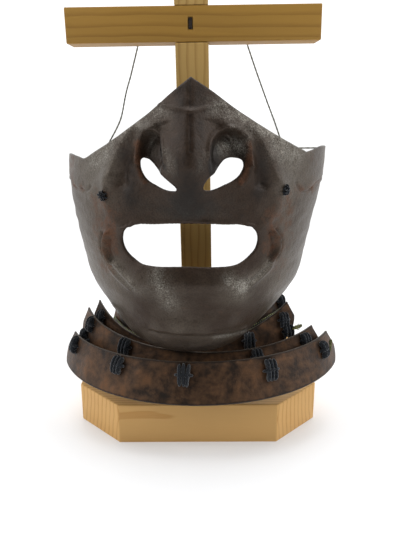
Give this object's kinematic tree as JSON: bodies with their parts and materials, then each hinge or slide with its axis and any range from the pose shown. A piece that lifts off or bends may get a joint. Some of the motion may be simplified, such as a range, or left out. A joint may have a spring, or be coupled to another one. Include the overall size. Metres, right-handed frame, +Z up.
{
  "type": "samurai face guard on a wooden stand",
  "caption": "Samurai face guard of russet iron with a laced throat guard of curved lames, hung by two strings from a wooden T stand.",
  "frame": {"origin": "middle of the stand's underside, where it rests", "axes": "+Z up; the face looks along -Y; +X is to the right of someone facing the mask"},
  "size_m": [0.1837, 0.1826, 0.3029],
  "materials": {
    "russet_iron": "satin, worn to silver on the high places",
    "brown_iron": "satin, rusty brown",
    "dark_silk": "matte braid, blue-black",
    "green_silk": "matte, yellow-green",
    "grey_string": "matte, twisted, grey-green",
    "dark_steel": "dark, dull",
    "pine": "clear satin, honey coloured"
  },
  "bodies": {
    "root": {"face_plate": "russet_iron", "cheek_knot_left": "dark_silk", "cheek_knot_right": "dark_silk", "lame_1": "brown_iron", "lame_2": "brown_iron", "lame_3": "brown_iron", "lame_4": "brown_iron", "edge_lace": "dark_silk", "tuft_upper": "green_silk", "tuft_lower": "green_silk", "tie_1_right": "dark_silk", "tie_2_left": "dark_silk", "tie_2_middle": "dark_silk", "tie_2_right": "dark_silk", "tie_2_end": "dark_silk", "tie_3_left": "dark_silk", "tie_3_corner": "dark_silk", "tie_3_side": "dark_silk", "tie_3_middle": "dark_silk", "tie_3_right": "dark_silk", "tie_4_left": "dark_silk", "tie_4_side": "dark_silk", "tie_4_middle": "dark_silk", "tie_4_front": "dark_silk", "tie_4_right": "dark_silk", "jaw_tie_left": "dark_silk", "jaw_tie_middle": "dark_silk", "jaw_tie_right": "dark_silk", "hanging_string_left": "grey_string", "hanging_string_right": "grey_string", "string_tack_left": "dark_steel", "string_tack_right": "dark_steel", "bar_nail": "dark_steel", "stand_base": "pine", "stand_post": "pine", "stand_crossbar": "pine"}
  },
  "joints": []
}
